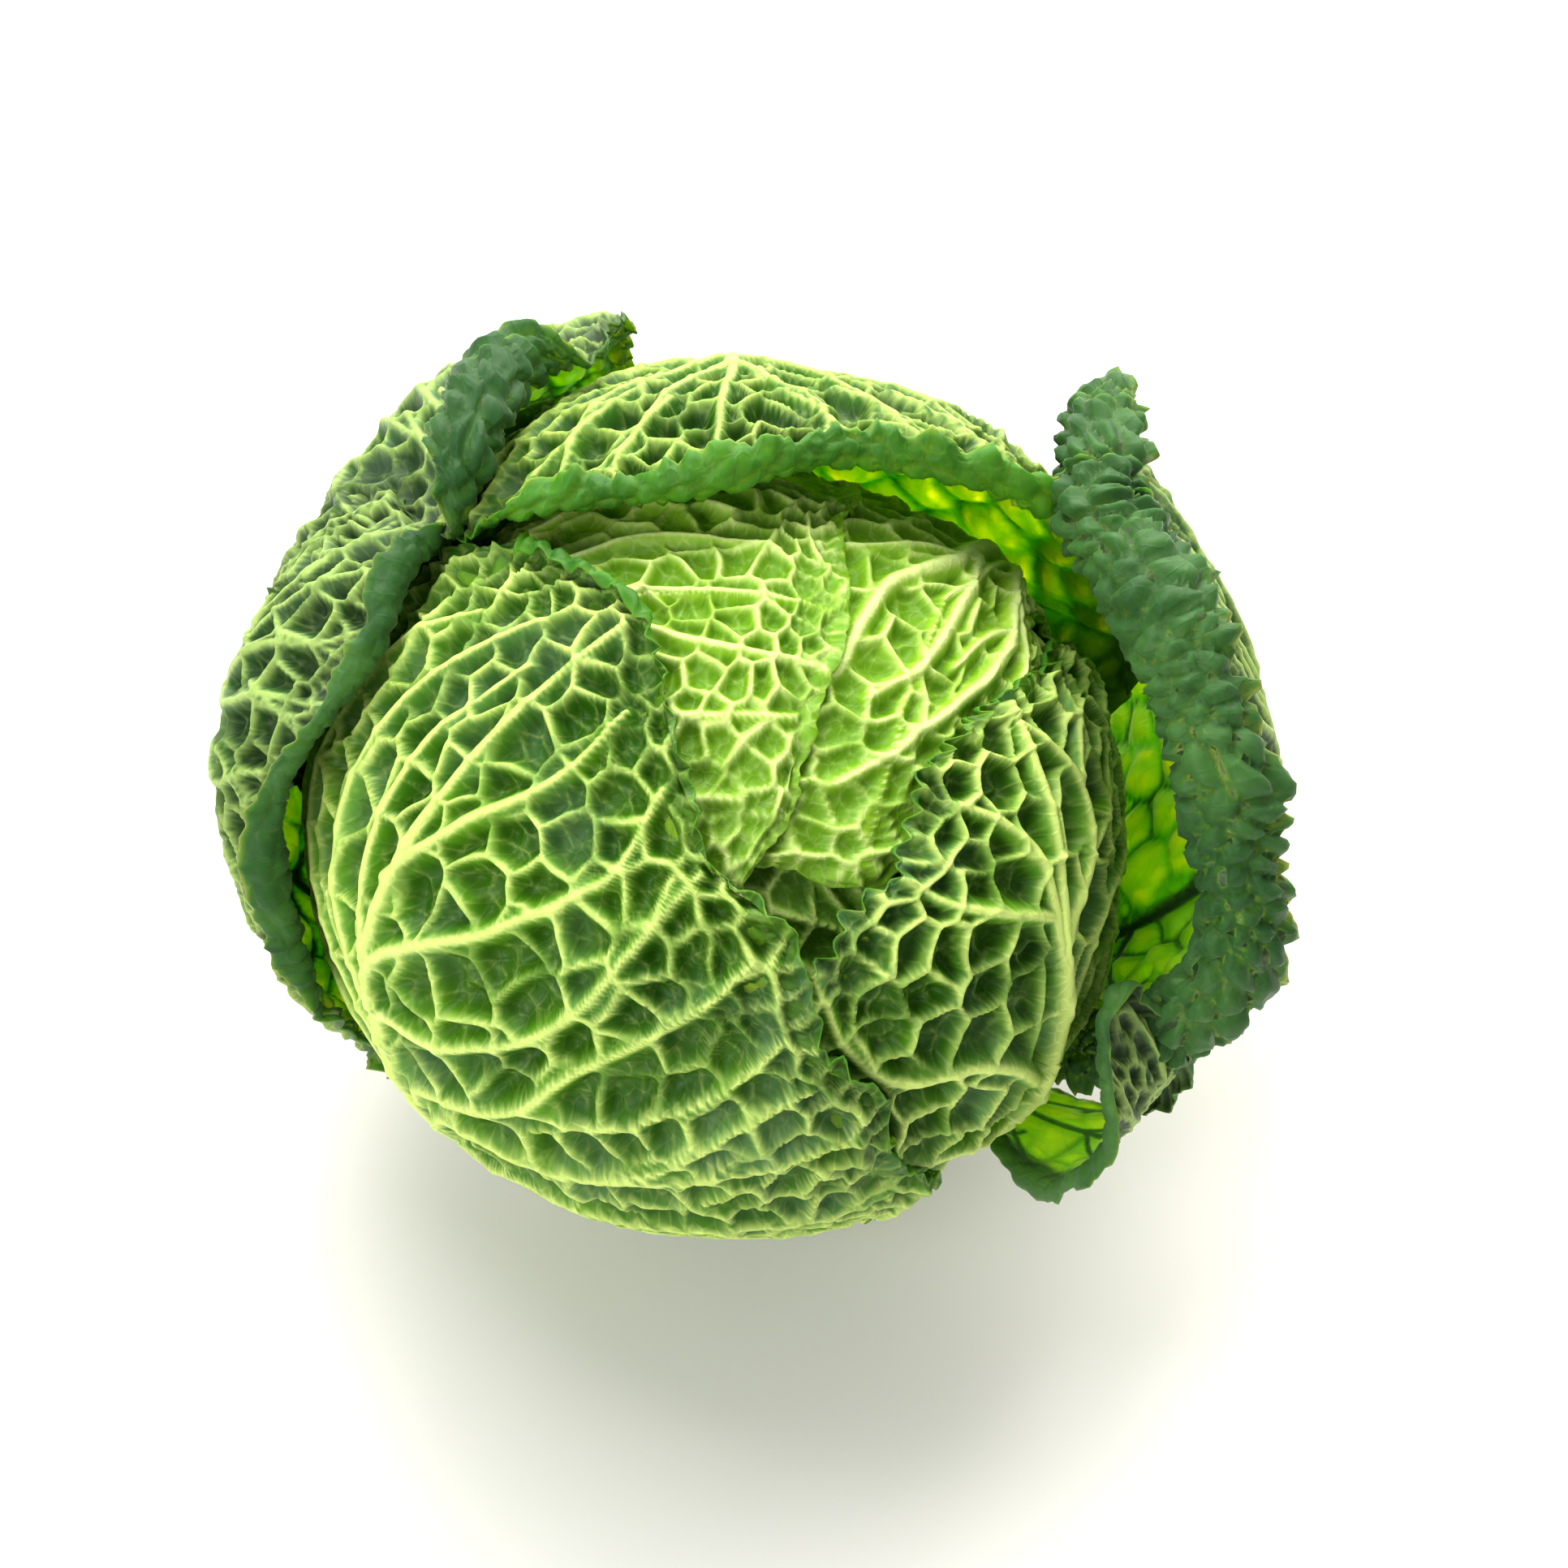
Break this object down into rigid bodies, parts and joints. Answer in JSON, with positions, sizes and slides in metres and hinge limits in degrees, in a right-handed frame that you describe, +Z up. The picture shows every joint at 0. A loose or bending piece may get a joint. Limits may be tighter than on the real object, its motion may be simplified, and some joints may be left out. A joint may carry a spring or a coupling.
{
  "type": "cabbage head",
  "caption": "Savoy cabbage standing on its cut stem: tight pale heart, crinkled wrapper leaves and loose dark outer leaves curled back at the margins.",
  "frame": {"origin": "bottom centre of the bounding box, on the stem's cut face plane", "axes": "+Z up along the head's axis from the stem to the crown; -Y towards the side where the two front wrapper leaves overlap"},
  "size_m": [0.236, 0.21, 0.2077],
  "materials": {
    "stem": "matte",
    "heart": "satin",
    "heart_leaf": "satin",
    "wrapper_leaf": "satin",
    "outer_leaf": "matte"
  },
  "bodies": {
    "root": {"stem": "stem", "heart": "heart", "heart_leaf_right": "heart_leaf", "heart_leaf_back": "heart_leaf", "heart_leaf_left": "heart_leaf", "wrapper_leaf_front_right": "wrapper_leaf", "wrapper_leaf_front_left": "wrapper_leaf", "wrapper_leaf_back": "wrapper_leaf", "outer_leaf_front_right": "outer_leaf", "outer_leaf_right": "outer_leaf", "outer_leaf_back_left": "outer_leaf", "outer_leaf_left": "outer_leaf"}
  },
  "joints": []
}
